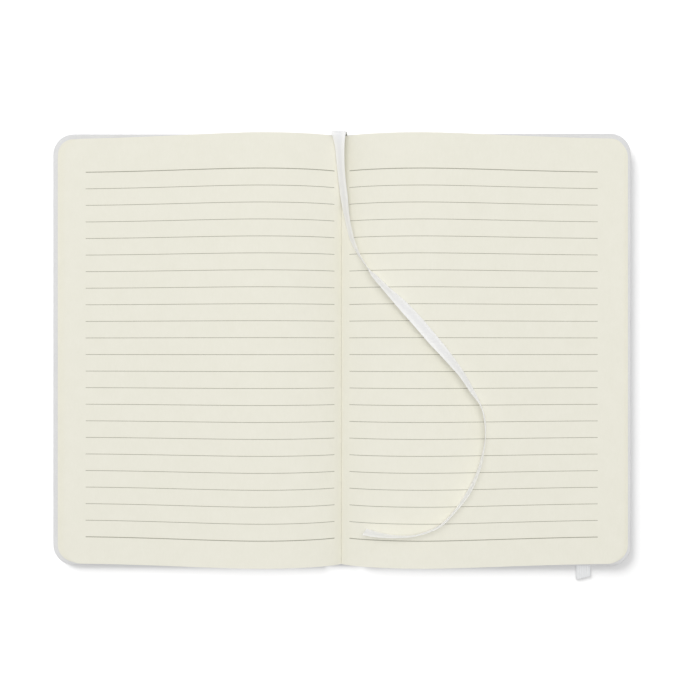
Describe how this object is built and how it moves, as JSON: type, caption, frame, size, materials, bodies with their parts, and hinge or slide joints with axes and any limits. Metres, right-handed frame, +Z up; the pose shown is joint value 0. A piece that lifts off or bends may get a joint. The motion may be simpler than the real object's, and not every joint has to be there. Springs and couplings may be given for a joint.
{
  "type": "notebook",
  "caption": "Open ruled notebook with a wrapped hard case, arched leaves, ribbon marker and elastic closing band; both covers fold back at the spine joints.",
  "frame": {"origin": "middle of the spine's underside, on the surface that the open notebook lies on", "axes": "+X across the spread towards the back cover's fore-edge, +Y towards the head, +Z up out of the pages"},
  "size_m": [0.2812, 0.2168, 0.0252],
  "materials": {
    "leaves": "uncoated cream writing paper",
    "ink": "grey printed lines on the paper",
    "endpaper": "uncoated cream paper",
    "board": "grey bookbinding board",
    "skin": "white coated skin with a fine grain",
    "lining": "open gauze",
    "ribbon": "white satin",
    "elastic": "pale ribbed elastic"
  },
  "bodies": {
    "book_block": {"text_block": "leaves", "ruling": "ink", "spine_board": "board", "spine_skin": "skin", "spine_lining": "lining", "ribbon": "ribbon"},
    "front_cover": {"front_board": "board", "front_skin": "skin", "front_endpaper": "endpaper"},
    "back_cover": {"back_board": "board", "back_skin": "skin", "back_endpaper": "endpaper", "elastic_band": "elastic"}
  },
  "joints": [
    {"name": "front_cover_hinge", "type": "hinge", "parent": "book_block", "child": "front_cover", "pos_m": [-0.00805, 0, 0.00025], "axis": [0, -1, 0], "range_deg": [0, 90]},
    {"name": "back_cover_hinge", "type": "hinge", "parent": "book_block", "child": "back_cover", "pos_m": [0.00805, 0, 0.00025], "axis": [0, 1, 0], "range_deg": [0, 90]}
  ]
}
